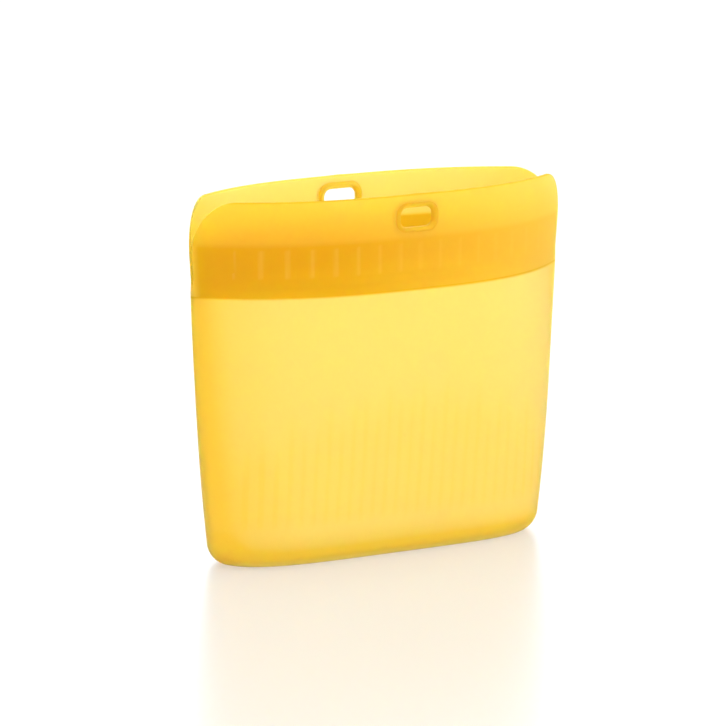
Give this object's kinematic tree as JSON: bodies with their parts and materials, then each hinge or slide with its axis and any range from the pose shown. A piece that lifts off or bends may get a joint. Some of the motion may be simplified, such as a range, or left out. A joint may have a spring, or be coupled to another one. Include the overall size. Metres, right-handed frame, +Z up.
{
  "type": "silicone storage bag",
  "caption": "Free-standing translucent silicone food bag with a lens-shaped open mouth, a thick press-seal band, lips with hanging slots and a rounded flat base.",
  "frame": {"origin": "centre of the resting face, under the middle of the bag", "axes": "+Z up, +X along the bag's width to its right side seen from the front, front towards -Y"},
  "size_m": [0.2254, 0.076, 0.1901],
  "materials": {
    "wall": "translucent yellow silicone, satin",
    "lip": "translucent yellow silicone, satin",
    "band": "translucent amber silicone, satin",
    "rim": "translucent amber silicone, satin",
    "seal": "translucent amber silicone, satin"
  },
  "bodies": {
    "pouch": {"base_floor": "wall", "front_base_edge": "wall", "back_base_edge": "wall", "left_base_corner": "wall", "right_base_corner": "wall", "front_wall": "wall", "back_wall": "wall", "left_side_fold": "wall", "right_side_fold": "wall"},
    "front_centre": {"front_centre_band": "band", "front_centre_lip": "lip", "front_centre_seal_rail_upper": "seal", "front_centre_seal_rail_lower": "seal", "front_slot_rim": "rim"},
    "front_left": {"front_left_band": "band", "front_left_lip": "lip", "front_left_seal_rail_upper": "seal", "front_left_seal_rail_lower": "seal"},
    "front_left_end": {"front_left_end_band": "band", "front_left_end_lip": "lip", "front_left_end_seal_rail_upper": "seal", "front_left_end_seal_rail_lower": "seal"},
    "front_right": {"front_right_band": "band", "front_right_lip": "lip", "front_right_seal_rail_upper": "seal", "front_right_seal_rail_lower": "seal"},
    "front_right_end": {"front_right_end_band": "band", "front_right_end_lip": "lip", "front_right_end_seal_rail_upper": "seal", "front_right_end_seal_rail_lower": "seal"},
    "back_centre": {"back_centre_band": "band", "back_centre_lip": "lip", "back_centre_seal_tongue": "seal", "back_slot_rim": "rim"},
    "back_left": {"back_left_band": "band", "back_left_lip": "lip", "back_left_seal_tongue": "seal"},
    "back_left_end": {"back_left_end_band": "band", "back_left_end_lip": "lip", "back_left_end_seal_tongue": "seal"},
    "back_right": {"back_right_band": "band", "back_right_lip": "lip", "back_right_seal_tongue": "seal"},
    "back_right_end": {"back_right_end_band": "band", "back_right_end_lip": "lip", "back_right_end_seal_tongue": "seal"}
  },
  "joints": [
    {"name": "mouth_press", "type": "slide", "parent": "pouch", "child": "front_centre", "axis": [0, 1, 0], "range_m": [-0.01, 0.0313], "stiffness_N_per_m": 30},
    {"name": "back_press", "type": "slide", "parent": "pouch", "child": "back_centre", "axis": [0, -1, 0], "range_m": [-0.0105, 0.0318]},
    {"name": "front_left_fold", "type": "hinge", "parent": "front_centre", "child": "front_left", "pos_m": [-0.035, -0.03581, 0.166], "axis": [0, 0, 1], "range_deg": [-4.88, 14.04]},
    {"name": "front_left_end_fold", "type": "hinge", "parent": "front_left", "child": "front_left_end", "pos_m": [-0.072, -0.02694, 0.166], "axis": [0, 0, 1], "range_deg": [-6.36, 18.68]},
    {"name": "front_right_fold", "type": "hinge", "parent": "front_centre", "child": "front_right", "pos_m": [0.035, -0.03581, 0.166], "axis": [0, 0, -1], "range_deg": [-4.88, 14.04]},
    {"name": "front_right_end_fold", "type": "hinge", "parent": "front_right", "child": "front_right_end", "pos_m": [0.072, -0.02694, 0.166], "axis": [0, 0, -1], "range_deg": [-6.36, 18.68]},
    {"name": "back_left_fold", "type": "hinge", "parent": "back_centre", "child": "back_left", "pos_m": [-0.035, 0.03581, 0.166], "axis": [0, 0, -1], "range_deg": [-4.88, 14.04]},
    {"name": "back_left_end_fold", "type": "hinge", "parent": "back_left", "child": "back_left_end", "pos_m": [-0.072, 0.02694, 0.166], "axis": [0, 0, -1], "range_deg": [-6.36, 18.68]},
    {"name": "back_right_fold", "type": "hinge", "parent": "back_centre", "child": "back_right", "pos_m": [0.035, 0.03581, 0.166], "axis": [0, 0, 1], "range_deg": [-4.88, 14.04]},
    {"name": "back_right_end_fold", "type": "hinge", "parent": "back_right", "child": "back_right_end", "pos_m": [0.072, 0.02694, 0.166], "axis": [0, 0, 1], "range_deg": [-6.36, 18.68]}
  ],
  "couplings": [
    {"joint": "back_press", "follows": "mouth_press", "ratio": 1},
    {"joint": "front_left_fold", "follows": "mouth_press", "rad_per_m": 7.5116},
    {"joint": "front_left_end_fold", "follows": "mouth_press", "rad_per_m": 10.096},
    {"joint": "front_right_fold", "follows": "mouth_press", "rad_per_m": 7.5116},
    {"joint": "front_right_end_fold", "follows": "mouth_press", "rad_per_m": 10.096},
    {"joint": "back_left_fold", "follows": "mouth_press", "rad_per_m": 7.5116},
    {"joint": "back_left_end_fold", "follows": "mouth_press", "rad_per_m": 10.096},
    {"joint": "back_right_fold", "follows": "mouth_press", "rad_per_m": 7.5116},
    {"joint": "back_right_end_fold", "follows": "mouth_press", "rad_per_m": 10.096}
  ]
}
